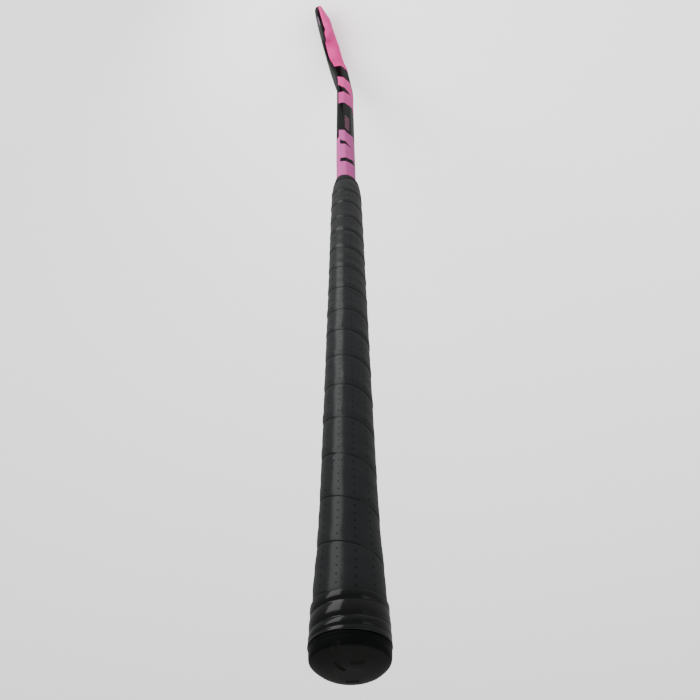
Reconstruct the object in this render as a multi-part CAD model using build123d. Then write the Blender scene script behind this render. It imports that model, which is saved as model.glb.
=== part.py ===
from build123d import *
import os
from math import cos, pi, radians, sin, tan

# Field hockey stick, millimetres.
# It stands with its butt up and its hook down. +Z runs up the handle, +X points to the toe and
# +Y points out of the flat playing face. The origin is on the handle axis where the top hand
# grips. "depth" below is the distance from the butt end down the stick.

# ---- overall -------------------------------------------------------------------------------
LENGTH = 927.0                  # butt end to the bottom of the hook, a 36.5 inch stick
BUTT_Z = 120.0                  # butt end above the origin
GRIP_END = 497.0                # depth where the wrapped grip ends and the bare shaft starts

# ---- bow: the head leans towards the playing face ----------------------------------------------
BOW_START = 770.0               # depth where the shaft starts to bend
BOW_END = 845.0                 # depth where it is straight again
BOW_ANGLE = 8.3                 # degrees between handle and head
BOW_STEPS = 4

# ---- hook, measured in the plane of the head ---------------------------------------------------
HEAD_WIDTH = 45.0               # across the laminate all round the hook
TOE_REACH = 96.0                # handle axis to the outside of the toe
TOE_STRAIGHT = 31.5             # from the end of the hook's half circle to the tip of the toe
HOOK_STEPS = 12
HEAD_THICKNESS = 22.0
HEAD_EDGES = (3.0, 9.0)         # chamfer beside the playing face and beside the back
TOE_THICKNESS = 16.0

THINNING_START = 0.45           # part of the half circle before the toe side starts to thin
TIP_FACE_ROUNDING = 0.3         # share of the tip's rounding that is on the playing face
# Toe stations: height above the end of the half circle, width, thickness.
TOE = [
    (8.0, 44.0, 17.0), (14.0, 42.0, TOE_THICKNESS), (20.0, 38.0, 15.0), (25.0, 32.0, 13.0),
    (28.5, 25.5, 10.4), (30.5, 19.0, 7.6), (TOE_STRAIGHT, 11.0, 4.6),
]

# ---- laminate ----------------------------------------------------------------------------------
WALL = 2.5                      # laminate wall in handle and shaft
HEAD_WALL = 4.2                 # laminate wall in the head
BEVEL_SLOPE = 0.85              # depth of the back's bevel for each millimetre of its width
TOE_BEVEL = 0.5                 # the outside bevel's share of the toe's width; it stays as deep
CORNER = 1.6                    # length of side that the rounding of each corner takes
WEB = 1.6                       # rib between the two shaft chambers
SHAFT_CORE_START = 30.0         # depth where both foam-filled chambers start
SHAFT_CORE_END = 835.0
HEAD_CORE_GAP = 8.0             # solid laminate between the shaft's foam and the head's foam
TIP_SOLID = 12.0                # solid laminate at the tip of the toe

# ---- grip and butt -----------------------------------------------------------------------------
CAP_HEIGHT = 11.0
CAP_WIDTH = 40.0
CAP_THICKNESS = 39.8
CAP_FLAT = 11.0                 # radius of the flat disc on the end
CAP_ROUNDING = 8.0
CAP_END_WALL = 4.0
BUTT_TAPE_END = 31.0            # depth of the lower edge of the gloss tape round the butt
BUTT_TAPE_WALL = 0.4
GRIP_WALL = 1.6                 # perforated tape, with its overlaps averaged out
FINISHING_TAPE_START = 483.0
FINISHING_TAPE_WALL = 0.3
PLUG_END = 28.0
PLUG_CLEARANCE = 0.05
LEAD = 1.0

# ---- hand-picked stations: depth, width towards the toe, thickness towards the face ----------------
# The laminate's last two numbers are the chamfer beside the playing face and beside the back.
LAMINATE = [
    (4.0, 32.0, 31.0, 9.0, 9.0), (31.0, 31.0, 29.6, 8.6, 8.6), (65.0, 27.8, 26.6, 7.8, 7.8),
    (127.0, 26.0, 25.0, 7.4, 7.6), (300.0, 24.8, 23.2, 6.8, 7.2), (480.0, 25.0, 20.4, 6.2, 7.2),
    (497.0, 26.0, 19.0, 6.4, 7.4), (560.0, 29.4, 18.0, 4.0, 7.6),
    (600.0, 31.2, 17.6, 3.4, 7.8), (740.0, 35.5, 17.4, 3.0, 8.4),
    (815.0, 42.0, 19.0, 3.0, 9.0), (850.0, HEAD_WIDTH, HEAD_THICKNESS, 3.0, 9.0),
]
GRIP = [
    (11.0, 39.2, 39.0), (31.0, 38.2, 37.8), (46.0, 37.2, 36.6), (65.0, 35.6, 34.8),
    (91.0, 34.2, 33.5), (127.0, 33.6, 32.9), (300.0, 32.0, 31.2), (470.0, 30.6, 29.7),
    (483.0, 29.4, 27.4), (497.0, 27.8, 22.8),
]

HOOK_RADIUS = (TOE_REACH + HEAD_WIDTH / 2) / 2          # outside of the hook
PATH_RADIUS = HOOK_RADIUS - HEAD_WIDTH / 2              # centre line of the hook
HOOK_CENTRE_X = HOOK_RADIUS - HEAD_WIDTH / 2
BOW_RADIUS = (BOW_END - BOW_START) / radians(BOW_ANGLE)


def between(table, depth, column):
    """Straight-line value of a column of a station table at a depth."""
    if depth <= table[0][0]:
        return table[0][column]
    for low, high in zip(table, table[1:]):
        if depth <= high[0]:
            share = (depth - low[0]) / (high[0] - low[0])
            return low[column] + share * (high[column] - low[column])
    return table[-1][column]


def bowed(depth, x=0.0):
    """Point on the stick's middle surface and the lean of that surface, in degrees."""
    lean = min(max((depth - BOW_START) / BOW_RADIUS, 0.0), radians(BOW_ANGLE))
    past = max(depth - BOW_END, 0.0)
    down = min(depth, BOW_START) + BOW_RADIUS * sin(lean) + past * cos(lean)
    out = BOW_RADIUS * (1 - cos(lean)) + past * sin(lean)
    return Vector(x, out, BUTT_Z - down), lean


def frame_at(depth, x=0.0, turn=0.0):
    """Section plane: local x to the inside of the hook, local y out of the playing face."""
    point, lean = bowed(depth, x)
    face = Vector(0, cos(lean), sin(lean))
    along = Vector(0, sin(lean), -cos(lean))
    across = Vector(1, 0, 0) * cos(turn) - along * sin(turn)
    return Plane(origin=point, x_dir=across, z_dir=across.cross(face))


# The hook's lowest edge, just above the bevel of its back, is LENGTH below the butt.
# The head leans, so its own length is a little more than its height.
LOW_EDGE = HEAD_THICKNESS / 2 - BEVEL_SLOPE * HEAD_EDGES[1]
HEAD_TOP = BOW_START + BOW_RADIUS * sin(radians(BOW_ANGLE))
HEAD_BOTTOM = BOW_END + (LENGTH - HEAD_TOP) / cos(radians(BOW_ANGLE)) \
    - LOW_EDGE * tan(radians(BOW_ANGLE))
HOOK_START = HEAD_BOTTOM - HOOK_RADIUS                  # depth where the half circle starts


def rounded_outline(corners, cut):
    """Closed outline through straight sides, each corner rounded from cut before it to cut after."""
    edges = []
    for corner, before, after in zip(corners, corners[-1:] + corners[:-1], corners[1:] + corners[:1]):
        start = corner + (before - corner).normalized() * cut
        end = corner + (after - corner).normalized() * cut
        next_start = after + (corner - after).normalized() * cut
        edges += [Bezier(start, corner, end), Line(end, next_start)]
    return Face(Wire(edges))


def shaft_outline(width, thickness, chamfer, bevel, inset=0.0, outside_bevel=0.0):
    """Flat-faced section with a bevelled back, shrunk by inset on every side."""
    a = width / 2 - inset
    b = thickness / 2 - inset
    scale = min(1.0, a / 12, b / 7)
    chamfer *= scale
    bevel *= scale
    drop = BEVEL_SLOPE * bevel
    outside = max(bevel, outside_bevel * scale)
    toe_half = [(a - chamfer, b), (a, b - chamfer), (a, -b + drop), (a - bevel, -b)]
    heel_half = [(-a + outside, -b), (-a, -b + drop), (-a, b - chamfer), (-a + chamfer, b)]
    return rounded_outline([Vector(x, y) for x, y in toe_half + heel_half], CORNER * scale)


def stick_stations(start, end):
    """Depths of the laminate's own stations and bow steps between two depths."""
    depths = [row[0] for row in LAMINATE]
    depths += [BOW_START + (BOW_END - BOW_START) * i / BOW_STEPS for i in range(BOW_STEPS + 1)]
    inside = sorted({d for d in depths if start + 1 < d < end - 1})
    return [start] + inside + [end]


def laminate_section(depth, inset=0.0):
    sizes = [between(LAMINATE, depth, column) for column in range(1, 5)]
    return frame_at(depth) * shaft_outline(*sizes, inset)


def hook_section(width, thickness, share, inset):
    """Section of the head. share is 0 where the hook starts and 1 in the toe."""
    bevel = HEAD_EDGES[1]
    outside_bevel = bevel + (TOE_BEVEL * width - bevel) * share
    return shaft_outline(width, thickness, *HEAD_EDGES, inset, outside_bevel)


def hook_sections(inset=0.0, tip_gap=0.0):
    """Sections round the half circle and up the toe, which thins from its back and rounds off."""
    sections = []
    for step in range(HOOK_STEPS + 1):
        turn = pi * step / HOOK_STEPS
        share = max(0.0, step / HOOK_STEPS - THINNING_START) / (1 - THINNING_START)
        thickness = HEAD_THICKNESS + (TOE[0][2] - HEAD_THICKNESS) * share
        depth = HOOK_START + PATH_RADIUS * sin(turn)
        x = HOOK_CENTRE_X - PATH_RADIUS * cos(turn)
        place = frame_at(depth, x, turn) * Pos(0, (HEAD_THICKNESS - thickness) / 2, 0)
        sections.append(place * hook_section(HEAD_WIDTH, thickness, share, inset))
    for rise, width, thickness in TOE:
        if rise <= TOE_STRAIGHT - tip_gap:
            face_recess = TIP_FACE_ROUNDING * max(0.0, TOE_THICKNESS - thickness)
            shift = (HEAD_THICKNESS - thickness) / 2 - face_recess
            place = frame_at(HOOK_START - rise, HOOK_CENTRE_X + PATH_RADIUS, pi) * Pos(0, shift, 0)
            sections.append(place * hook_section(width, thickness, 1.0, inset))
    return sections


def grip_section(depth, inset=0.0):
    width = between(GRIP, depth, 1)
    thickness = between(GRIP, depth, 2)
    return frame_at(depth) * Ellipse(width / 2 - inset, thickness / 2 - inset)


def grip_body(start, end, inset=0.0):
    depths = [row[0] for row in GRIP if start + 0.5 < row[0] < end - 0.5]
    return loft([grip_section(d, inset) for d in [start] + depths + [end]], ruled=True)


def sleeve(start, end, inside, outside):
    """Layer between two insets of the grip's outer surface, open at both ends."""
    core = grip_body(start, end, inside)
    lead_in = extrude(core.faces().sort_by(Axis.Z)[-1], LEAD)
    lead_out = extrude(core.faces().sort_by(Axis.Z)[0], LEAD)
    return grip_body(start, end, outside) - core - lead_in - lead_out


# ---- laminate and its foam ---------------------------------------------------------------------
def stick_outer():
    shaft = [laminate_section(d) for d in stick_stations(CAP_END_WALL, HOOK_START)]
    return loft(shaft[:-1] + hook_sections(), ruled=True)


def shaft_space():
    depths = stick_stations(SHAFT_CORE_START, SHAFT_CORE_END)
    return loft([laminate_section(d, WALL) for d in depths], ruled=True)


def shaft_chamber(side):
    """Foam in one of the two chambers. side is +1 towards the toe and -1 towards the heel."""
    half = Box(60, 120, 1000, align=(Align.MIN, Align.CENTER, Align.MAX))
    if side < 0:
        half = mirror(half, about=Plane.YZ)
    return shaft_space() & (Pos(side * WEB / 2, 0, BUTT_Z) * half)


def head_foam():
    entry = laminate_section(SHAFT_CORE_END + HEAD_CORE_GAP, HEAD_WALL)
    return loft([entry] + hook_sections(HEAD_WALL, TIP_SOLID), ruled=True)


def plug_space(clearance=0.0):
    depths = [CAP_END_WALL, PLUG_END]
    return loft([laminate_section(d, WALL + clearance) for d in depths], ruled=True)


# ---- butt --------------------------------------------------------------------------------------
def rubber_cap():
    """Cup over the end of the laminate, with a flat disc and a rounded shoulder."""
    top = Pos(0, 0, BUTT_Z)
    shoulder = [(0.0, 0.0), (0.8, 0.42), (2.4, 0.74), (4.8, 0.92), (CAP_ROUNDING, 1.0)]
    rings = []
    for down, share in shoulder:
        wide = CAP_FLAT + (CAP_WIDTH / 2 - CAP_FLAT) * share
        thick = CAP_FLAT + (CAP_THICKNESS / 2 - CAP_FLAT) * share
        rings.append(top * Pos(0, 0, -down) * Ellipse(wide, thick))
    rim = top * Pos(0, 0, -CAP_HEIGHT) * Ellipse(GRIP[0][1] / 2 + 0.4, GRIP[0][2] / 2 + 0.4)
    return loft(rings + [rim], ruled=True)


outer = stick_outer()
chamber_heel = shaft_chamber(-1)
chamber_toe = shaft_chamber(+1)
head_core = head_foam()
laminate_shell = outer - chamber_heel - chamber_toe - head_core - plug_space()
butt_plug = plug_space(PLUG_CLEARANCE)
end_cap = rubber_cap() - outer - butt_plug
cushion_wrap = grip_body(CAP_HEIGHT, FINISHING_TAPE_START - 4, GRIP_WALL) - outer
grip_tape = grip_body(CAP_HEIGHT, GRIP_END) - outer - cushion_wrap
butt_tape = sleeve(CAP_HEIGHT, BUTT_TAPE_END, 0.0, -BUTT_TAPE_WALL)
finishing_tape = sleeve(FINISHING_TAPE_START, GRIP_END, 0.0, -FINISHING_TAPE_WALL)

parts = {
    "laminate_shell": laminate_shell,
    "shaft_foam_heel_side": chamber_heel,
    "shaft_foam_toe_side": chamber_toe,
    "head_foam": head_core,
    "butt_plug": butt_plug,
    "end_cap": end_cap,
    "cushion_wrap": cushion_wrap,
    "grip_tape": grip_tape,
    "butt_tape": butt_tape,
    "finishing_tape": finishing_tape,
}

os.makedirs("parts", exist_ok=True)
for name, shape in parts.items():
    export_step(shape, f"parts/{name}.step")
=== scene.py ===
import math

import bpy
import numpy as np
from mathutils import Matrix, Vector


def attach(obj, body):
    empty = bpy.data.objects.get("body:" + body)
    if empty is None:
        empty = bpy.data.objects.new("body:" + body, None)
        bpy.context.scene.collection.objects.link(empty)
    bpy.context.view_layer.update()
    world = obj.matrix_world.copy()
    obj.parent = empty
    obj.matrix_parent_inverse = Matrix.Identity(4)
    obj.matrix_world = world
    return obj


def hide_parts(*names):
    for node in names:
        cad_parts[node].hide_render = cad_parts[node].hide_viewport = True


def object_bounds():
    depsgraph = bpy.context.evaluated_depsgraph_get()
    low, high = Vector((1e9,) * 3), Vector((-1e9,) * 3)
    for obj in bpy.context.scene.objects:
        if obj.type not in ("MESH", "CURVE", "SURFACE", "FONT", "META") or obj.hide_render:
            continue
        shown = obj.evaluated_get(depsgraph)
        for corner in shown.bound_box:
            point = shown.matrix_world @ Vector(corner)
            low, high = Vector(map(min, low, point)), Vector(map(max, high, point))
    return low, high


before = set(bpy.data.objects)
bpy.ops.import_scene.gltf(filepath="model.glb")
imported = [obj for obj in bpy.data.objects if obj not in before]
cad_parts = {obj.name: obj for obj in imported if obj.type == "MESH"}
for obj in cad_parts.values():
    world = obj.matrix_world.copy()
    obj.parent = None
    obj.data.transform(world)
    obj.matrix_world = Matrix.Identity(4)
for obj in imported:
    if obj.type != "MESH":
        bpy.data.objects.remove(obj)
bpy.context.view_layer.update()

# Millimetres in the CAD frame: +Z up the handle, +X to the toe, +Y out of the playing face.
# "depth" is the distance from the butt end down the stick.
MM = 0.001
BUTT_Z = 120.0
LENGTH = 927.0
BOW_START, BOW_END, BOW_ANGLE = 770.0, 845.0, math.radians(8.3)
HEAD_WIDTH, HEAD_THICKNESS = 45.0, 22.0
TOE_REACH, TOE_STRAIGHT, TOE_THICKNESS = 96.0, 31.5, 16.0
HEAD_CHAMFER, HEAD_BEVEL, TOE_BEVEL = 3.0, 9.0, 0.5
THINNING_START, TIP_FACE_ROUNDING = 0.45, 0.3
BEVEL_SLOPE = 0.85
EDGE_ROUNDING = 1.9
LAMINATE_START = 4.0
FINE_RINGS_START = 515.0          # rings every 3 mm above this depth and every 1 mm below it
HOOK_RINGS = 72
TOE_RING_END = 28.0               # height in the toe where its rounded tip starts
CAP_HEIGHT = 11.0
BUTT_TAPE_END, BUTT_TAPE_WALL = 31.0, 0.4
FINISHING_TAPE_START, FINISHING_TAPE_END, FINISHING_TAPE_WALL = 483.0, 497.0, 0.3

# depth, width, thickness, chamfer beside the face, bevel beside the back
LAMINATE = [
    (4.0, 32.0, 31.0, 9.0, 9.0), (31.0, 31.0, 29.6, 8.6, 8.6), (65.0, 27.8, 26.6, 7.8, 7.8),
    (127.0, 26.0, 25.0, 7.4, 7.6), (300.0, 24.8, 23.2, 6.8, 7.2), (480.0, 25.0, 20.4, 6.2, 7.2),
    (497.0, 26.0, 19.0, 6.4, 7.4), (560.0, 29.4, 18.0, 4.0, 7.6), (600.0, 31.2, 17.6, 3.4, 7.8),
    (740.0, 35.5, 17.4, 3.0, 8.4), (815.0, 42.0, 19.0, 3.0, 9.0),
    (850.0, HEAD_WIDTH, HEAD_THICKNESS, HEAD_CHAMFER, HEAD_BEVEL),
]
# height above the end of the hook's half circle, width, thickness
TOE = [
    (0.0, HEAD_WIDTH, 17.0), (8.0, 44.0, 17.0), (14.0, 42.0, TOE_THICKNESS), (20.0, 38.0, 15.0),
    (25.0, 32.0, 13.0), (28.5, 25.5, 10.4), (30.5, 19.0, 7.6),
    (TOE_STRAIGHT, 11.0, 4.6),
]
# depth, width, thickness of the wrapped handle
GRIP = [
    (11.0, 39.2, 39.0), (31.0, 38.2, 37.8), (46.0, 37.2, 36.6), (65.0, 35.6, 34.8),
    (91.0, 34.2, 33.5), (127.0, 33.6, 32.9), (300.0, 32.0, 31.2), (470.0, 30.6, 29.7),
    (483.0, 29.4, 27.4), (497.0, 27.8, 22.8),
]
# depths of the grip tape's overlaps, on the line 20 degrees from the toe side towards the face
SEAMS = [
    3.8, 31.8, 59.8, 88.6, 119.3, 148.6, 178.6, 208.2, 236.6, 260.8, 290.4, 320.2, 350.7, 380.0,
    404.0, 433.4, 458.6, 486.5, 515.0, 543.5,
]
SEAM_ANGLE = 20.0

HOOK_RADIUS = (TOE_REACH + HEAD_WIDTH / 2) / 2
PATH_RADIUS = HOOK_RADIUS - HEAD_WIDTH / 2
HOOK_CENTRE_X = PATH_RADIUS
BOW_RADIUS = (BOW_END - BOW_START) / BOW_ANGLE
LOW_EDGE = HEAD_THICKNESS / 2 - BEVEL_SLOPE * HEAD_BEVEL
HEAD_TOP = BOW_START + BOW_RADIUS * math.sin(BOW_ANGLE)
HEAD_BOTTOM = BOW_END + (LENGTH - HEAD_TOP) / math.cos(BOW_ANGLE) - LOW_EDGE * math.tan(BOW_ANGLE)
HOOK_START = HEAD_BOTTOM - HOOK_RADIUS


# ---- curves and numbers ------------------------------------------------------------------------
def smooth_table(rows, x, column):
    """Smooth curve through a column of a station table that never overshoots it."""
    xs = np.array([row[0] for row in rows], float)
    ys = np.array([row[column] for row in rows], float)
    steps = np.diff(xs)
    slopes = np.diff(ys) / steps
    tangents = np.zeros(len(xs))
    tangents[0], tangents[-1] = slopes[0], slopes[-1]
    for i in range(1, len(xs) - 1):
        if slopes[i - 1] * slopes[i] > 0:
            first = 2 * steps[i] + steps[i - 1]
            second = steps[i] + 2 * steps[i - 1]
            tangents[i] = (first + second) / (first / slopes[i - 1] + second / slopes[i])
    x = np.clip(x, xs[0], xs[-1])
    k = np.clip(np.searchsorted(xs, x, side="right") - 1, 0, len(steps) - 1)
    u = (x - xs[k]) / steps[k]
    start = (1 + 2 * u) * (1 - u) ** 2 * ys[k] + u * (1 - u) ** 2 * steps[k] * tangents[k]
    end = u * u * (3 - 2 * u) * ys[k + 1] + u * u * (u - 1) * steps[k] * tangents[k + 1]
    return start + end


def ramp(x, low, high):
    """0 below low, 1 above high, smooth between them."""
    u = np.clip((x - low) / (high - low), 0, 1)
    return u * u * (3 - 2 * u)


def along(values, x):
    """Straight-line value at x of pairs (x, value)."""
    return np.interp(x, [v[0] for v in values], [v[1] for v in values])


def place(depth, x, turn, local):
    """Section points (to the inside of the hook, out of the face) as points of the frame."""
    lean = min(max((depth - BOW_START) / BOW_RADIUS, 0.0), BOW_ANGLE)
    past = max(depth - BOW_END, 0.0)
    down = min(depth, BOW_START) + BOW_RADIUS * math.sin(lean) + past * math.cos(lean)
    out = BOW_RADIUS * (1 - math.cos(lean)) + past * math.sin(lean)
    origin = np.array([x, out, BUTT_Z - down])
    face = np.array([0, math.cos(lean), math.sin(lean)])
    stick = np.array([0, math.sin(lean), -math.cos(lean)])
    across = np.array([1, 0, 0]) * math.cos(turn) - stick * math.sin(turn)
    return origin + local[:, :1] * across + local[:, 1:] * face


def outline(width, thickness, chamfer, bevel, outside_bevel=0.0):
    """Section points and where each lies round the section, counted in corners from the toe side."""
    a, b = width / 2, thickness / 2
    scale = min(1.0, a / 12, b / 7)
    chamfer, bevel, cut = chamfer * scale, bevel * scale, EDGE_ROUNDING * scale
    drop = BEVEL_SLOPE * bevel
    outside = max(bevel, outside_bevel * scale)
    toe_half = [(a - chamfer, b), (a, b - chamfer), (a, -b + drop), (a - bevel, -b)]
    heel_half = [(-a + outside, -b), (-a, -b + drop), (-a, b - chamfer), (-a + chamfer, b)]
    corners = [np.array(p) for p in toe_half + heel_half]
    points, turns = [], []
    for i, corner in enumerate(corners):
        before, after = corners[i - 1], corners[(i + 1) % 8]
        back, ahead = np.linalg.norm(before - corner), np.linalg.norm(after - corner)
        start = corner + (before - corner) / back * min(cut, 0.45 * back)
        end = corner + (after - corner) / ahead * min(cut, 0.45 * ahead)
        next_start = after + (corner - after) / ahead * min(cut, 0.45 * ahead)
        for u in np.linspace(0, 1, 5):
            points.append((1 - u) ** 2 * start + 2 * u * (1 - u) * corner + u * u * end)
            turns.append(i - 0.12 + 0.24 * u)
        for u in np.linspace(0, 1, 7)[1:-1]:
            points.append(end + (next_start - end) * u)
            turns.append(i + 0.12 + 0.76 * u)
    return np.array(points), np.array(turns)


def make_mesh(name, points, faces, fields=None):
    """Smooth mesh in the frame from millimetre points, with named number fields on its points."""
    mesh = bpy.data.meshes.new(name)
    mesh.from_pydata((np.asarray(points) * MM).tolist(), [], [list(map(int, f)) for f in faces])
    for field, values in (fields or {}).items():
        layer = mesh.attributes.new(field, "FLOAT", "POINT")
        layer.data.foreach_set("value", np.asarray(values, np.float32).ravel())
    mesh.polygons.foreach_set("use_smooth", [True] * len(mesh.polygons))
    mesh.validate()
    mesh.update()
    piece = bpy.data.objects.new(name, mesh)
    bpy.context.scene.collection.objects.link(piece)
    return piece


def ring_faces(rings, around, close_start=True, close_end=True):
    """Faces of a tube of rings; a closed end gets one face across it."""
    faces = []
    for i in range(rings - 1):
        for j in range(around):
            k = (j + 1) % around
            faces.append((i * around + j, (i + 1) * around + j, (i + 1) * around + k, i * around + k))
    if close_start:
        faces.append(tuple(range(around)))
    if close_end:
        faces.append(tuple(reversed(range((rings - 1) * around, rings * around))))
    return faces


# ---- materials ---------------------------------------------------------------------------------
class Shader:
    """A material being built node by node."""

    def __init__(self, name, **settings):
        self.material = bpy.data.materials.new(name)
        self.material.use_nodes = True
        self.tree = self.material.node_tree
        self.surface = self.tree.nodes["Principled BSDF"]
        for socket, value in settings.items():
            self.set(socket.replace("_", " "), value)

    def set(self, socket, value):
        target = self.surface.inputs[socket]
        if isinstance(value, bpy.types.NodeSocket):
            self.tree.links.new(value, target)
        else:
            target.default_value = (*value, 1.0) if isinstance(value, tuple) else value

    def node(self, kind, inputs, output=0, **settings):
        made = self.tree.nodes.new(kind)
        for key, value in settings.items():
            setattr(made, key, value)
        for key, value in inputs.items():
            if isinstance(value, bpy.types.NodeSocket):
                self.tree.links.new(value, made.inputs[key])
            else:
                made.inputs[key].default_value = (*value, 1.0) if len_of(value) == 3 and \
                    made.inputs[key].type == "RGBA" else value
        return made.outputs[output]

    def field(self, name):
        return self.node("ShaderNodeAttribute", {}, "Fac", attribute_name=name)

    def math(self, operation, *values):
        return self.node("ShaderNodeMath", dict(enumerate(values)), operation=operation)

    def step(self, value, low, high):
        """0 where value is low and 1 where it is high, smooth between them."""
        inputs = {"Value": value, "From Min": low, "From Max": high}
        return self.node("ShaderNodeMapRange", inputs, interpolation_type="SMOOTHSTEP")

    def noise(self, scale, detail=3.0, roughness=0.5, stretch=(1, 1, 1)):
        place_in = self.node("ShaderNodeTexCoord", {}, "Object")
        scaled = self.node("ShaderNodeVectorMath", {0: place_in, 1: stretch}, operation="MULTIPLY")
        inputs = {"Vector": scaled, "Scale": scale, "Detail": detail, "Roughness": roughness}
        return self.node("ShaderNodeTexNoise", inputs)

    def mix(self, share, first, second):
        """Colour between two colours."""
        made = self.tree.nodes.new("ShaderNodeMix")
        made.data_type = "RGBA"
        for index, value in ((0, share), (6, first), (7, second)):
            if isinstance(value, bpy.types.NodeSocket):
                self.tree.links.new(value, made.inputs[index])
            else:
                made.inputs[index].default_value = (*value, 1.0) if len_of(value) == 3 else value
        return made.outputs[2]

    def bump(self, height, distance_mm, under=None):
        inputs = {"Height": height, "Distance": distance_mm * MM, "Strength": 1.0}
        if under is not None:
            inputs["Normal"] = under
        return self.node("ShaderNodeBump", inputs)


def len_of(value):
    return len(value) if hasattr(value, "__len__") else 0


# ---- painted laminate --------------------------------------------------------------------------
# The section's corners are counted 0 face/chamfer, 1 chamfer/edge, 2 edge/bevel, 3 bevel/back on
# the toe side; 3.5 is the middle of the back. Each black band is bounded by two lines of
# (corner, depth).
BAND_NEAR = ([(1, 528), (2, 527), (3, 529), (3.5, 539)], [(1, 536.5), (2, 536), (3, 539), (3.5, 550)])
BAND_WEDGE = ([(1, 574), (2, 570.5), (3, 569), (3.5, 572)],
              [(1, 587), (2, 578.5), (2.5, 573.5), (3, 569.4), (3.5, 571)])
BAND_LONG = ([(1, 613), (2, 609), (2.3, 605), (3, 605), (3.5, 617)],
             [(1, 698), (2, 697.5), (3, 697), (3.5, 716)])
BAND_HEEL = ([(1, 737), (2, 736), (3, 738.5), (3.5, 742)],
             [(1, 764), (2, 753), (2.4, 750), (2.8, 746), (3, 740), (3.5, 738)])
BAND_BOW = ([(1, 796), (2, 789), (3, 784), (3.5, 786)], [(1, 839), (2, 835.5), (3, 832), (3.5, 836)])
FACE_PAINT_START = 592.0
STRIPE_EDGE = 3.3


def paint_field(depth, turn, out):
    """Distance into the black paint in millimetres, negative in the pink."""
    folded = np.where(turn > 3.5, 7.0 - turn, turn)
    folded = np.clip(folded, 0, 3.5)

    def band(lines):
        low, high = (along(line, folded) for line in lines)
        return np.minimum(depth - low, high - depth)

    stripes = np.maximum(band(BAND_NEAR), band(BAND_WEDGE))
    stripes = np.minimum(stripes, STRIPE_EDGE - out)
    bands = np.maximum.reduce([band(BAND_LONG), band(BAND_HEEL), band(BAND_BOW)])
    inner = along([(580, 4.4), (620, 4.8), (740, 5.6), (830, 6.2), (870, 7.4), (900, 8.2)], depth)
    outer = along([(580, 4.4), (740, 5.2), (840, 5.2), (870, 4.4), (900, 3.8), (938, 4.2), (955, 4.3),
                   (973, 5.9), (985, 6.2), (1013, 6.8)], depth)
    face = np.minimum(out - np.where(turn > 3.5, outer, inner), depth - FACE_PAINT_START)
    return np.maximum.reduce([stripes, bands, face])


def bar_field(depth, across, bars, shown):
    """Distance into slanted bars given as (depth, across, half length, half thickness, slant)."""
    best = np.full(len(depth), -9.0)
    for at, side, length, thick, slant in bars:
        v = across - side
        u = depth - at - slant * v
        best = np.maximum(best, np.minimum(length - np.abs(v), thick - np.abs(u)))
    return np.where(shown, best, -9.0)


def head_outline(width, thickness, share):
    """Section of the head. share is 0 where the hook starts and 1 in the toe."""
    outside_bevel = HEAD_BEVEL + (TOE_BEVEL * width - HEAD_BEVEL) * share
    return outline(width, thickness, HEAD_CHAMFER, HEAD_BEVEL, outside_bevel)


def shell_rings():
    """Rings down the shaft, round the hook and up the toe: points, section, corner count, path length."""
    coarse = np.arange(LAMINATE_START, FINE_RINGS_START, 3.0)
    fine = np.arange(FINE_RINGS_START, HOOK_START, 1.0)
    depths = np.concatenate([coarse, fine, [HOOK_START]])
    for depth in depths:
        sizes = [float(smooth_table(LAMINATE, depth, column)) for column in (1, 2, 3, 4)]
        local, turn = outline(*sizes)
        yield place(depth, 0.0, 0.0, local), local, turn, depth
    for angle in np.linspace(0, math.pi, HOOK_RINGS + 1)[1:]:
        share = max(0.0, angle / math.pi - THINNING_START) / (1 - THINNING_START)
        thickness = HEAD_THICKNESS + (TOE[0][2] - HEAD_THICKNESS) * share
        local, turn = head_outline(HEAD_WIDTH, thickness, share)
        local = local + np.array([0, (HEAD_THICKNESS - thickness) / 2])
        at = place(HOOK_START + PATH_RADIUS * math.sin(angle),
                   HOOK_CENTRE_X - PATH_RADIUS * math.cos(angle), angle, local)
        yield at, local, turn, HOOK_START + PATH_RADIUS * angle
    tip = TOE_STRAIGHT - 3.0 * (1 - np.sin(np.linspace(0, math.pi / 2, 14)))
    for rise in np.concatenate([np.arange(1.0, TOE_RING_END, 1.0), tip]):
        width, thickness = (float(smooth_table(TOE, rise, column)) for column in (1, 2))
        recess = TIP_FACE_ROUNDING * max(0.0, TOE_THICKNESS - thickness)
        local, turn = head_outline(width, thickness, 1.0)
        local = local + np.array([0, (HEAD_THICKNESS - thickness) / 2 - recess])
        at = place(HOOK_START - rise, HOOK_CENTRE_X + PATH_RADIUS, math.pi, local)
        yield at, local, turn, HOOK_START + PATH_RADIUS * math.pi + rise


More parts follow.
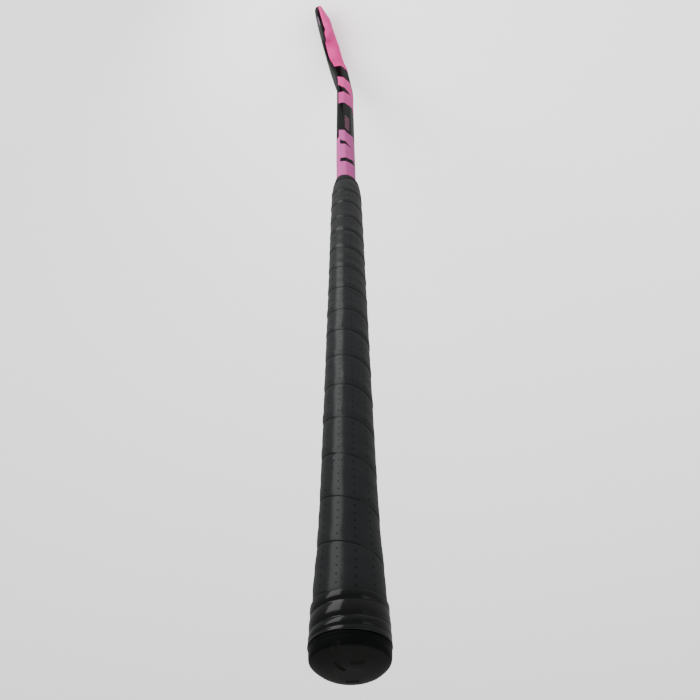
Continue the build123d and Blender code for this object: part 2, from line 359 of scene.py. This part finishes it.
def laminate():
    rings = list(shell_rings())
    last, local, turn, depth = rings[-1]
    for share, rise in ((0.75, 0.25), (0.4, 0.42), (0.12, 0.5)):
        centre = last.mean(0)
        up = np.array([0, -math.sin(BOW_ANGLE), math.cos(BOW_ANGLE)]) * rise
        rings.append((centre + (last - centre) * share + up, local, turn, depth))
    around = len(rings[0][0])
    points = np.concatenate([ring[0] for ring in rings])
    across = np.concatenate([ring[1][:, 0] for ring in rings])
    out = np.concatenate([ring[1][:, 1] for ring in rings])
    turn = np.concatenate([ring[2] for ring in rings])
    depth = np.concatenate([np.full(around, ring[3]) for ring in rings])
    hash_bars = [(619 + 8.0 * i, 13.2, 2.7, 2.2, 0.9) for i in range(5)]
    back_mark = [(1001.0, -5.0, 6.0, 3.0, -0.4)]
    face_bars = [(1004.0 - 9.0 * i, -11.0 + 4.0 * i, 6.5, 2.6, 0.0) for i in range(3)]
    on_bevel = (turn > 2.02) & (turn < 2.98)
    on_back = (turn > 2.9) & (turn < 4.1)
    on_face = (turn > 7.0) | (turn < 0.0)
    fields = {
        "depth": depth,
        "paint": paint_field(depth, turn, out),
        "back_mark": bar_field(depth, across, back_mark, on_back),
        "hash": bar_field(depth, across, hash_bars, on_bevel),
        "face_bar": bar_field(depth, across, face_bars, on_face),
    }
    return make_mesh("laminate_shell_painted", points, ring_faces(len(rings), around), fields)


def lacquer():
    m = Shader("lacquered_laminate", Coat_IOR=1.4)
    black = m.step(m.math("MAXIMUM", m.field("paint"), m.field("back_mark")), -0.12, 0.12)
    cloud = m.noise(30, 4.0, 0.55, (1, 1, 0.35))
    grain = m.noise(900, 2.0, 0.5)
    # One pink paint, painted darker on the shaft and brighter on the head: painted shade and painted light
    # that change with depth.
    shaded_shaft_pink = m.mix(cloud, (0.180, 0.030, 0.108), (0.212, 0.040, 0.128))
    lit_head_pink = m.mix(cloud, (0.39, 0.024, 0.148), (0.45, 0.032, 0.172))
    pink = m.mix(m.step(m.field("depth"), 620.0, 860.0), shaded_shaft_pink, lit_head_pink)
    dark = m.mix(cloud, (0.0010, 0.0013, 0.0013), (0.0022, 0.0027, 0.0027))
    hashed = m.mix(m.step(m.field("hash"), -0.12, 0.12), dark, (0.085, 0.030, 0.052))
    barred = m.mix(m.step(m.field("face_bar"), -0.15, 0.15), hashed, (0.150, 0.085, 0.135))
    m.set("Base Color", m.mix(black, pink, barred))
    satin = m.math("MULTIPLY_ADD", cloud, 0.12, 0.26)
    m.set("Roughness", m.math("ADD", satin, m.math("MULTIPLY", black, 0.06)))
    m.set("Specular IOR Level", 0.0)
    m.set("Coat Weight", m.math("MULTIPLY_ADD", black, 0.015, 0.055))
    m.set("Coat Roughness", m.math("MULTIPLY_ADD", m.noise(60, 5.0, 0.6, (1, 1, 0.2)), 0.14, 0.02))
    paint_step = m.bump(m.step(m.field("paint"), -0.25, 0.25), 0.04)
    m.set("Normal", m.bump(grain, 0.010, paint_step))
    m.set("Coat Normal", m.bump(m.noise(140, 2.0, 0.5), 0.022, paint_step))
    return m.material


# ---- grip --------------------------------------------------------------------------------------
def radius_at(depth, angle, wall=0.0):
    """Distance from the axis to the wrapped handle's outside."""
    a = smooth_table(GRIP, depth, 1) / 2 + wall
    b = smooth_table(GRIP, depth, 2) / 2 + wall
    return a * b / np.sqrt((b * np.cos(angle)) ** 2 + (a * np.sin(angle)) ** 2)


def handle_points(depth, angle, radius):
    return np.stack([radius * np.cos(angle), radius * np.sin(angle), BUTT_Z - depth], axis=-1)


def wave(seed, angle, depth, count=6, longest=60.0, shortest=9.0):
    """Sum of a few slanted waves over the handle, about -1 to 1, from a fixed seed."""
    random = np.random.default_rng(seed)
    total = np.zeros(np.broadcast(angle, depth).shape)
    for _ in range(count):
        length = random.uniform(shortest, longest)
        turns = random.integers(-3, 4)
        phase = random.uniform(0, 2 * math.pi)
        total = total + random.uniform(0.4, 1.0) * np.sin(
            2 * math.pi * depth / length + turns * angle + phase)
    return total / math.sqrt(count)


WRAP_ROWS = [0.0, 0.008, 0.018, 0.032, 0.05, 0.08, 0.12, 0.16, 0.20, 0.24, 0.28, 0.33, 0.39, 0.45,
             0.52, 0.59, 0.66, 0.73, 0.79, 0.84, 0.88, 0.92, 0.95, 0.972, 0.987, 0.996]
GRIP_AROUND = 144
WRAP_PITCH = 28.5
HOLE_COLUMNS = 12
HOLE_SPACING, HOLE_ROW_SPACING = 8.6, 4.9          # millimetres along and across the tape
HOLE_RIM, HOLE_FLOOR = 0.62, 0.34                   # radii where a hole starts and is at its darkest
LIP_HEIGHT = 0.32                 # millimetres that an average overlap stands proud
LIP_SPREAD = (0.85, 1.25)         # share of that height, drawn for each wrap
HELD_DOWN = 5.0                   # depth over which the finishing tape presses the wraps flat


def wrapped_tape():
    """The tape wound down the handle; each wrap lies over the edge of the one before it."""
    rows = len(WRAP_ROWS)
    wraps = len(SEAMS) - 1
    angle = np.arange(GRIP_AROUND) * 2 * math.pi / GRIP_AROUND
    wrap = np.repeat(np.arange(wraps), rows)
    part = np.tile(WRAP_ROWS, wraps)
    random = np.random.default_rng(11)
    lip_share = random.uniform(*LIP_SPREAD, wraps + 2)[wrap][:, None]
    turn = (wrap + part)[:, None] + (angle[None, :] - math.radians(SEAM_ANGLE)) / (2 * math.pi)
    depth = np.interp(turn, np.arange(len(SEAMS)), SEAMS)
    depth = depth + 0.45 * wave(3, angle[None, :], depth, 4, 300, 90)
    clipped = np.clip(depth, BUTT_TAPE_END - 1.0, FINISHING_TAPE_START + 3.0)
    share = part[:, None]
    lip = ramp(share, -0.01, 0.16) * (1 - ramp(share, 0.18, 0.48))
    crown = np.sin(math.pi * np.clip((share - 0.2) / 0.8, 0, 1))
    groove = 1 - ramp(share, 0.0, 0.022) + ramp(share, 0.965, 0.996)
    relief = lip_share * LIP_HEIGHT * lip + 0.12 * crown + 0.04 - 0.30 * groove
    relief = relief + 0.10 * wave(5, angle[None, :], clipped, 8, 40, 8)
    creases = np.exp(-((clipped - 112) / 9) ** 2) * np.exp(
        -((np.degrees(angle)[None, :] - 17) / 15) ** 2)
    relief = relief - 0.22 * creases * np.sin(clipped * 1.1 + 4 * angle[None, :])
    released = ramp(clipped, BUTT_TAPE_END, BUTT_TAPE_END + 11.0)
    held = released * (1 - ramp(clipped, FINISHING_TAPE_START - HELD_DOWN, FINISHING_TAPE_START))
    under_butt_tape = 1 - ramp(clipped, BUTT_TAPE_END, BUTT_TAPE_END + 2.0)
    under_finish = ramp(clipped, FINISHING_TAPE_START, FINISHING_TAPE_START + 1)
    tucked = under_butt_tape + 2 * under_finish
    relief = relief * held - 0.20 * tucked
    radius = radius_at(clipped, angle[None, :]) + relief
    points = handle_points(clipped, angle[None, :], radius).reshape(-1, 3)
    total = rows * wraps
    faces = []
    outside = (clipped - depth) != 0
    for row in range(total - 1):
        for j in range(GRIP_AROUND):
            if j < GRIP_AROUND - 1:
                ring = [(row, j), (row + 1, j), (row + 1, j + 1), (row, j + 1)]
            elif row + 1 + rows < total:
                ring = [(row, j), (row + 1, j), (row + 1 + rows, 0), (row + rows, 0)]
            else:
                continue
            if not all(outside[r, c] for r, c in ring):
                faces.append([r * GRIP_AROUND + c for r, c in ring])
    along_tape = (wrap[:, None] + angle[None, :] / (2 * math.pi)) * HOLE_COLUMNS
    across_tape = np.broadcast_to(share * WRAP_PITCH, clipped.shape)
    fields = {
        "tape_along": along_tape,
        "tape_across": across_tape,
        "groove": np.broadcast_to(groove, clipped.shape),
        "worn": creases,
    }
    return make_mesh("grip_tape_wound", points, faces, fields)


def soft_tape():
    m = Shader("grip_tape")
    across = m.field("tape_across")
    u = m.math("SUBTRACT", m.math("FRACT", m.math("ADD", m.field("tape_along"), 0.3)), 0.5)
    v = m.math("SUBTRACT", m.math("FRACT", m.math("MULTIPLY_ADD", across, 1 / HOLE_ROW_SPACING, 0.6)), 0.5)
    u, v = m.math("MULTIPLY", u, HOLE_SPACING), m.math("MULTIPLY", v, HOLE_ROW_SPACING)
    away = m.math("SQRT", m.math("ADD", m.math("MULTIPLY", u, u), m.math("MULTIPLY", v, v)))
    hole = m.step(away, HOLE_RIM, HOLE_FLOOR)
    grain = m.noise(700, 4.0, 0.6)
    skin = m.noise(55, 5.0, 0.6, (1, 1, 0.6))
    worn = m.field("worn")
    base = m.mix(skin, (0.0034, 0.0037, 0.0039), (0.0056, 0.0059, 0.0062))
    dusty = m.mix(m.math("MULTIPLY", m.step(grain, 0.55, 0.8), 0.35), base, (0.013, 0.0135, 0.0135))
    # Painted shade: the tape colour darkens along the seam grooves where the wraps overlap.
    groove_shaded = m.mix(m.math("MULTIPLY", m.field("groove"), 0.8), dusty, (0.0015, 0.0015, 0.0015))
    # Painted shade: the perforation holes are painted darker than the tape around them.
    m.set("Base Color", m.mix(hole, groove_shaded, (0.0030, 0.0030, 0.0030)))
    m.set("Roughness", 0.6)
    m.set("Specular IOR Level", 0.0)
    m.set("Coat Weight", m.math("MULTIPLY_ADD", hole, -0.08, 0.120))
    rough = m.math("MULTIPLY_ADD", skin, 0.14, 0.20)
    m.set("Coat Roughness", m.math("SUBTRACT", rough, m.math("MULTIPLY", worn, 0.06)))
    pebbled = m.bump(grain, 0.030)
    wrinkled = m.bump(m.noise(90, 4.0, 0.6, (1, 1, 0.5)), 0.16, pebbled)
    pierced = m.bump(m.math("SUBTRACT", 1.0, hole), 0.35, wrinkled)
    m.set("Normal", pierced)
    m.set("Coat Normal", m.bump(m.noise(90, 4.0, 0.6, (1, 1, 0.5)), 0.09))
    return m.material


# ---- tapes at both ends of the grip ------------------------------------------------------------
def wrap_angle(angle):
    """The same angle between half a turn back and half a turn on."""
    return np.mod(angle + math.pi, 2 * math.pi) - math.pi


def sleeve(name, start, end, wall, ripple, tilt=0.0, seed=1, bulges=()):
    """Thin tape round the handle: it turns in at both edges, and its surface is uneven."""
    around = 160
    angle = np.arange(around) * 2 * math.pi / around
    rows = [(0.0, -0.9), (0.0, -0.15), (0.15, 0.0)]
    rows += [(s, 0.0) for s in np.linspace(0.5, end - start - 0.5, int((end - start) * 2.5))]
    rows += [(end - start - 0.15, 0.0), (end - start, -0.15), (end - start, -0.9)]
    points = []
    for offset, sink in rows:
        share = offset / (end - start)
        depth = start + offset + tilt * share * np.sin(angle - math.radians(20))
        uneven = ripple * wave(seed, angle, depth, 7, 16, 4.5)
        if bulges:
            slant = depth + 0.8 * np.sin(angle + 0.6)
            place_in = np.interp(slant, bulges, np.arange(len(bulges)))
            bulge_width = np.diff(bulges)[np.clip(place_in.astype(int), 0, len(bulges) - 2)]
            near = 0.3 + 0.7 * np.exp(-(wrap_angle(angle - math.radians(12)) / 1.0) ** 4)
            uneven = uneven + 0.45 - 0.10 * bulge_width * near * (2 * (place_in % 1.0) - 1) ** 2
        overlap = 0.10 * ramp(np.sin(angle + 0.35 * offset), 0.86, 0.90)
        radius = radius_at(depth, angle, wall) + sink + (uneven + overlap) * (sink == 0)
        points.append(handle_points(depth, angle, radius))
    faces = ring_faces(len(rows), around, False, False)
    return make_mesh(name, np.concatenate(points), faces)


def glossy_tape():
    m = Shader("gloss_tape", Coat_Weight=0.17, Coat_Roughness=0.17)
    cloud = m.noise(80, 4.0, 0.6)
    m.set("Base Color", m.mix(cloud, (0.0005, 0.0006, 0.0007), (0.0013, 0.0014, 0.0016)))
    m.set("Roughness", m.math("MULTIPLY_ADD", cloud, 0.12, 0.22))
    m.set("Specular IOR Level", 0.0)
    m.set("Normal", m.bump(m.noise(260, 3.0, 0.5, (1, 1, 0.4)), 0.03))
    m.set("Coat Normal", m.bump(m.noise(120, 3.0, 0.5, (1, 1, 0.5)), 0.10))
    return m.material


def satin_tape():
    m = Shader("finishing_tape", Coat_Weight=0.08, Coat_Roughness=0.28)
    cloud = m.noise(70, 5.0, 0.6)
    m.set("Base Color", m.mix(cloud, (0.0036, 0.0038, 0.0040), (0.0056, 0.0058, 0.0061)))
    m.set("Roughness", m.math("MULTIPLY_ADD", cloud, 0.2, 0.30))
    m.set("Specular IOR Level", 0.0)
    m.set("Normal", m.bump(m.noise(150, 4.0, 0.6, (1, 1, 0.4)), 0.10))
    return m.material


# ---- rubber cap --------------------------------------------------------------------------------
CAP_PROFILE = [
    (-0.80, 0.0), (-0.80, 7.4), (-0.70, 9.2), (-0.42, 11.2), (0.02, 13.1), (0.62, 14.9), (1.38, 16.4),
    (2.30, 17.7), (3.30, 18.7), (4.00, 19.2), (4.70, 19.55), (5.6, 19.82), (6.6, 19.95), (7.5, 20.02),
    (8.5, 20.05), (8.7, 19.97), (8.85, 19.87), (9.0, 19.97), (9.2, 20.05), (10.4, 20.1),
    (10.75, 20.0), (10.93, 19.7), (CAP_HEIGHT, 19.0),
]
# Three short slots in the end: centre x and y, heading in degrees, half length.
SLOTS = [(8.9, 2.8, 18, 4.2), (10.0, -6.0, 80, 3.1), (-7.4, 0.9, 75, 3.1)]
SLOT_SINK = 0.9
CAP_AROUND = 360


def slot_depth(x, y):
    """How far the points of the end sink into the slots, from 0 to 1."""
    sunk = np.zeros_like(x)
    for middle_x, middle_y, heading, half in SLOTS:
        cos, sin = math.cos(math.radians(heading)), math.sin(math.radians(heading))
        ahead = (x - middle_x) * cos + (y - middle_y) * sin
        aside = (y - middle_y) * cos - (x - middle_x) * sin
        here = ramp(1.15 - np.abs(aside), 0.0, 0.4) * ramp(half - np.abs(ahead), 0.0, 0.4)
        sunk = np.maximum(sunk, here)
    return sunk


def rubber_cap():
    """Cup with a domed end and three slots in it, a moulding groove and a rim."""
    angle = np.arange(CAP_AROUND) * 2 * math.pi / CAP_AROUND
    profile = []
    for (d0, r0), (d1, r1) in zip([(CAP_PROFILE[0][0], 0.6)] + CAP_PROFILE[1:], CAP_PROFILE[1:]):
        parts = max(1, int(math.hypot(d1 - d0, r1 - r0) / 0.25))
        profile += [(d0 + (d1 - d0) * k / parts, r0 + (r1 - r0) * k / parts) for k in range(parts)]
    profile.append(CAP_PROFILE[-1])
    points = []
    for down, radius in profile:
        uneven = 0.05 * wave(8, angle, np.full(CAP_AROUND, down), 5, 14, 6) * ramp(radius, 8, 19)
        squash = 1 - (0.01 + 0.05 * (1 - ramp(down, 1.5, 5.0))) * np.sin(angle) ** 2
        slot = slot_depth(radius * np.cos(angle), radius * np.sin(angle))
        points.append(handle_points(down + SLOT_SINK * slot, angle, (radius + uneven) * squash))
    points = np.concatenate(points)
    fields = {"depth": BUTT_Z - points[:, 2]}
    return make_mesh("end_cap_rubber", points, ring_faces(len(profile), CAP_AROUND), fields)


def cap_rubber():
    m = Shader("cap_rubber")
    cloud = m.noise(60, 5.0, 0.6)
    grain = m.noise(1500, 3.0, 0.6)
    # Painted light and shade: one rubber, painted darker on the side wall and lighter on the domed end,
    # switched by depth.
    side = m.mix(cloud, (0.0008, 0.0009, 0.0009), (0.0022, 0.0024, 0.0024))
    lit_domed_end = m.mix(cloud, (0.0030, 0.0031, 0.0029), (0.0052, 0.0053, 0.0050))
    base = m.mix(m.step(m.field("depth"), 4.6, 3.6), side, lit_domed_end)
    dust = m.math("MULTIPLY", m.step(m.noise(220, 5.0, 0.7), 0.58, 0.75), 0.25)
    m.set("Base Color", m.mix(dust, base, (0.012, 0.012, 0.0115)))
    m.set("Roughness", m.math("MULTIPLY_ADD", cloud, 0.18, 0.42))
    m.set("Specular IOR Level", 0.010)
    m.set("Normal", m.bump(m.noise(160, 4.0, 0.6), 0.10, m.bump(grain, 0.035)))
    return m.material


# ---- inside pieces carried over from the CAD ---------------------------------------------------
def cellular(name, low, high, cell, rough, depth_mm):
    """Foam: open cells over a blotchy body colour."""
    m = Shader(name, Specular_IOR_Level=0.25)
    place_in = m.node("ShaderNodeTexCoord", {}, "Object")
    cells = m.node("ShaderNodeTexVoronoi", {"Vector": place_in, "Scale": cell}, "Distance")
    blotch = m.noise(45, 4.0, 0.6)
    m.set("Base Color", m.mix(m.math("MULTIPLY", cells, blotch), low, high))
    m.set("Roughness", m.math("MULTIPLY_ADD", blotch, 0.15, rough))
    m.set("Normal", m.bump(cells, depth_mm))
    return m.material


def moulded_plastic():
    m = Shader("plug_plastic")
    cloud = m.noise(90, 4.0, 0.6)
    m.set("Base Color", m.mix(cloud, (0.035, 0.035, 0.037), (0.060, 0.060, 0.062)))
    m.set("Roughness", m.math("MULTIPLY_ADD", cloud, 0.2, 0.42))
    m.set("Normal", m.bump(m.noise(1200, 3.0, 0.6), 0.03))
    return m.material


# ---- the object --------------------------------------------------------------------------------
PIECES = [
    (laminate(), lacquer(), "laminate_shell", "lacquered_laminate"),
    (wrapped_tape(), soft_tape(), "grip_tape", "grip_tape"),
    (sleeve("butt_tape_gloss", CAP_HEIGHT, BUTT_TAPE_END, BUTT_TAPE_WALL, 0.05, 0.0, 21,
            (9.5, 13.4, 17.9, 26.4, 33.0)),
     glossy_tape(), "butt_tape", "gloss_tape"),
    (sleeve("finishing_tape_satin", FINISHING_TAPE_START, FINISHING_TAPE_END - 2.5,
            FINISHING_TAPE_WALL, 0.12, 4.0, 5), satin_tape(), "finishing_tape", "finishing_tape"),
    (rubber_cap(), cap_rubber(), "end_cap", "cap_rubber"),
]
for piece, material, node, slot in PIECES:
    piece.data.materials.append(material)
    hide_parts(node)
    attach(piece, "root")

core_foam = cellular("core_foam", (0.60, 0.52, 0.34), (0.80, 0.74, 0.56), 900, 0.75, 0.25)
INSIDE = {
    "shaft_foam_heel_side": core_foam,
    "shaft_foam_toe_side": core_foam,
    "head_foam": core_foam,
    "butt_plug": moulded_plastic(),
    "cushion_wrap": cellular("cushion_foam", (0.018, 0.018, 0.019), (0.045, 0.045, 0.047),
                             1600, 0.70, 0.12),
}
for node, material in INSIDE.items():
    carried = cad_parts[node]
    carried.data.materials.clear()
    carried.data.materials.append(material)

# ---- floor, light and camera -------------------------------------------------------------------
low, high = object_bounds()
CAMERA_LENS, CAMERA_SENSOR = 32.914, 36.0
CAMERA_PLACE = (0.2946, -0.0741, 0.2482)
CAMERA_RIGHT = Vector((-0.24769, -0.96881, 0.00792))
CAMERA_UP = Vector((0.73723, -0.19378, -0.64726))


def floor():
    size, height = 14.0, low.z
    mesh = bpy.data.meshes.new("floor")
    mesh.from_pydata([(-size, -size, height), (size, -size, height), (size, size, height),
                      (-size, size, height)], [], [(0, 1, 2, 3)])
    made = bpy.data.objects.new("floor", mesh)
    bpy.context.scene.collection.objects.link(made)
    m = Shader("floor_paper", Roughness=0.95, Specular_IOR_Level=0.0)
    m.set("Base Color", m.mix(m.noise(3.0, 3.0), (0.86, 0.86, 0.86), (0.88, 0.88, 0.88)))
    made.data.materials.append(m.material)


def softbox(name, centre, target, width, height, power):
    lamp = bpy.data.lights.new(name, "AREA")
    lamp.shape, lamp.size, lamp.size_y, lamp.energy = "RECTANGLE", width, height, power
    made = bpy.data.objects.new(name, lamp)
    made.location = centre
    made.rotation_mode = "QUATERNION"
    made.rotation_quaternion = (Vector(target) - Vector(centre)).to_track_quat("-Z", "Y")
    made.visible_camera = False
    bpy.context.scene.collection.objects.link(made)


floor()
world = bpy.data.worlds.new("studio")
world.use_nodes = True
world.node_tree.nodes["Background"].inputs[0].default_value = (1.0, 1.0, 1.0, 1.0)
world.node_tree.nodes["Background"].inputs[1].default_value = 1.35
bpy.context.scene.world = world
softbox("overhead", (0.6, -0.4, 3.2), (0.0, 0.0, -0.4), 3.0, 3.0, 150.0)
softbox("strip", (0.231, 0.139, -0.31), (0.0, 0.0, -0.31), 0.19, 0.66, 4.3)
softbox("side_glow", (0.40, -1.10, 0.25), (0.0, 0.0, -0.30), 1.00, 1.00, 8.0)

camera_data = bpy.data.cameras.new("camera")
camera_data.lens = CAMERA_LENS
camera_data.sensor_width = CAMERA_SENSOR
camera_data.clip_start, camera_data.clip_end = 0.02, 60.0
camera = bpy.data.objects.new("camera", camera_data)
axes = (CAMERA_RIGHT, CAMERA_UP, CAMERA_RIGHT.cross(CAMERA_UP))
turned = Matrix(axes).transposed().to_4x4()
camera.matrix_world = Matrix.Translation(CAMERA_PLACE) @ turned
bpy.context.scene.collection.objects.link(camera)
bpy.context.scene.camera = camera
